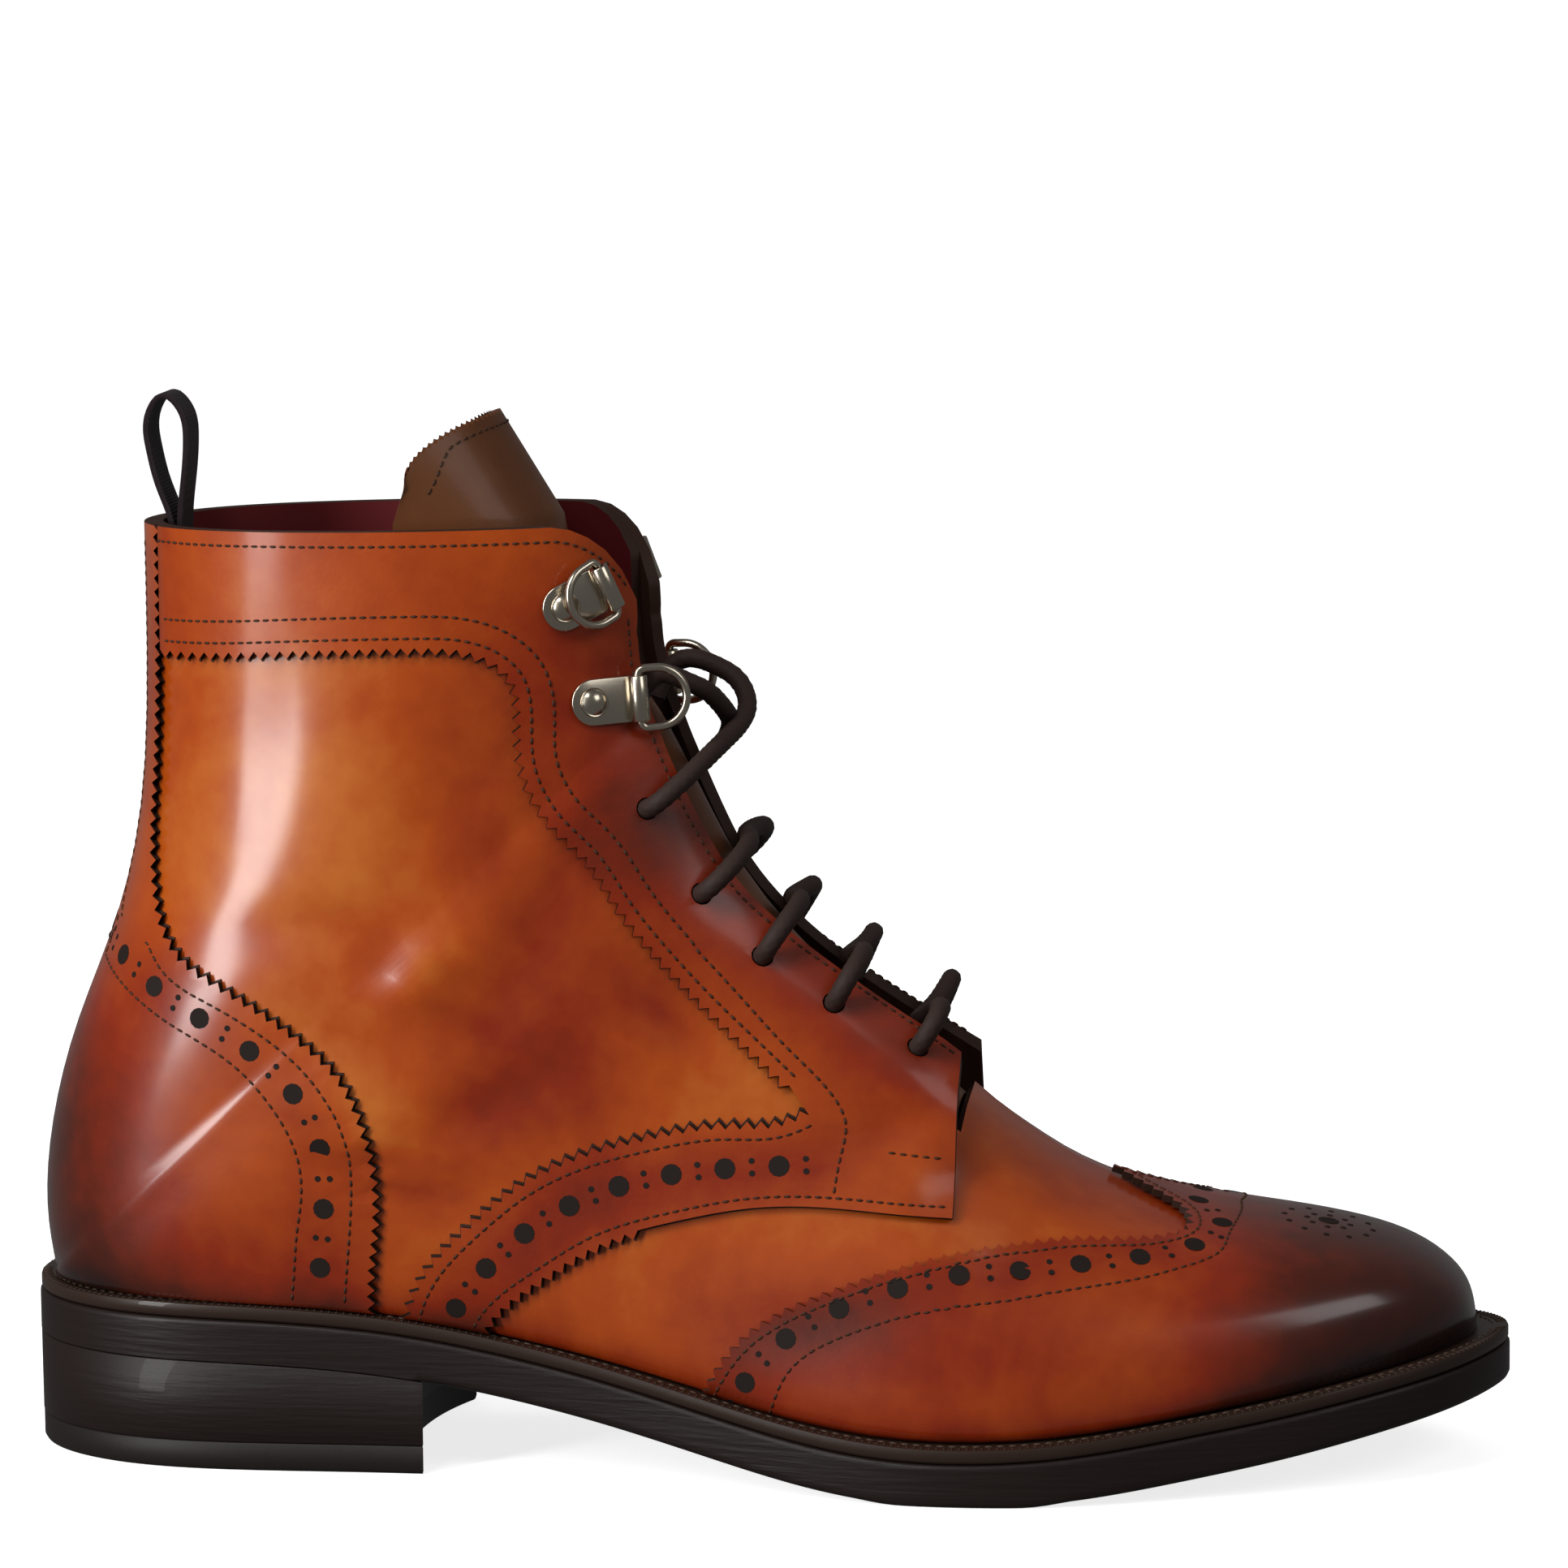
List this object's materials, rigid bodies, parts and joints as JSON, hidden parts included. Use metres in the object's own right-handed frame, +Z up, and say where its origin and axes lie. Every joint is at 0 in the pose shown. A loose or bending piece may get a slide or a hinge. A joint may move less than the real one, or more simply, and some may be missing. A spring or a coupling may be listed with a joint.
{
  "type": "lace-up ankle boot",
  "caption": "Right ankle boot with wing-tip cap, open lacing through eyelets and ring clips, leather sole and stacked heel, standing empty.",
  "frame": {"origin": "on the floor under the heel, on the heel's middle line", "axes": "+X towards the toe, +Y towards the inner (medial) side, +Z up"},
  "size_m": [0.3043, 0.1071, 0.2169],
  "materials": {
    "cognac_leather": "polished",
    "brown_leather": "satin",
    "tan_leather": "matte",
    "dark_sole_leather": "satin",
    "burgundy_lining": "matte",
    "lift_rubber": "matte",
    "dark_ribbon": "matte",
    "old_nickel": "antiqued",
    "waxed_cord": "waxed"
  },
  "bodies": {
    "boot": {"upper": "cognac_leather", "wing_cap": "cognac_leather", "heel_counter": "cognac_leather", "facing_lateral": "brown_leather", "facing_medial": "brown_leather", "tongue": "tan_leather", "insole": "burgundy_lining", "welt": "dark_sole_leather", "outsole": "dark_sole_leather", "heel_stack": "dark_sole_leather", "heel_top_lift": "lift_rubber", "pull_loop": "dark_ribbon", "clip_lower_lateral": "old_nickel", "ring_lower_lateral": "old_nickel", "clip_lower_medial": "old_nickel", "ring_lower_medial": "old_nickel", "clip_upper_lateral": "old_nickel", "clip_upper_medial": "old_nickel", "lace_bar_1": "waxed_cord", "lace_bar_2": "waxed_cord", "lace_bar_3": "waxed_cord", "lace_bar_4": "waxed_cord", "lace_crossing": "waxed_cord"},
    "ring_upper_lateral": {"ring_upper_lateral": "old_nickel"},
    "ring_upper_medial": {"ring_upper_medial": "old_nickel"}
  },
  "joints": [
    {"name": "ring_upper_lateral_hinge", "type": "hinge", "parent": "boot", "child": "ring_upper_lateral", "pos_m": [0.08741, -0.02593, 0.18021], "axis": [-0.3742, -0.1966, 0.9063], "range_deg": [0, 145]},
    {"name": "ring_upper_medial_hinge", "type": "hinge", "parent": "boot", "child": "ring_upper_medial", "pos_m": [0.08741, 0.02586, 0.18021], "axis": [0.3741, -0.1968, -0.9063], "range_deg": [0, 145]}
  ]
}
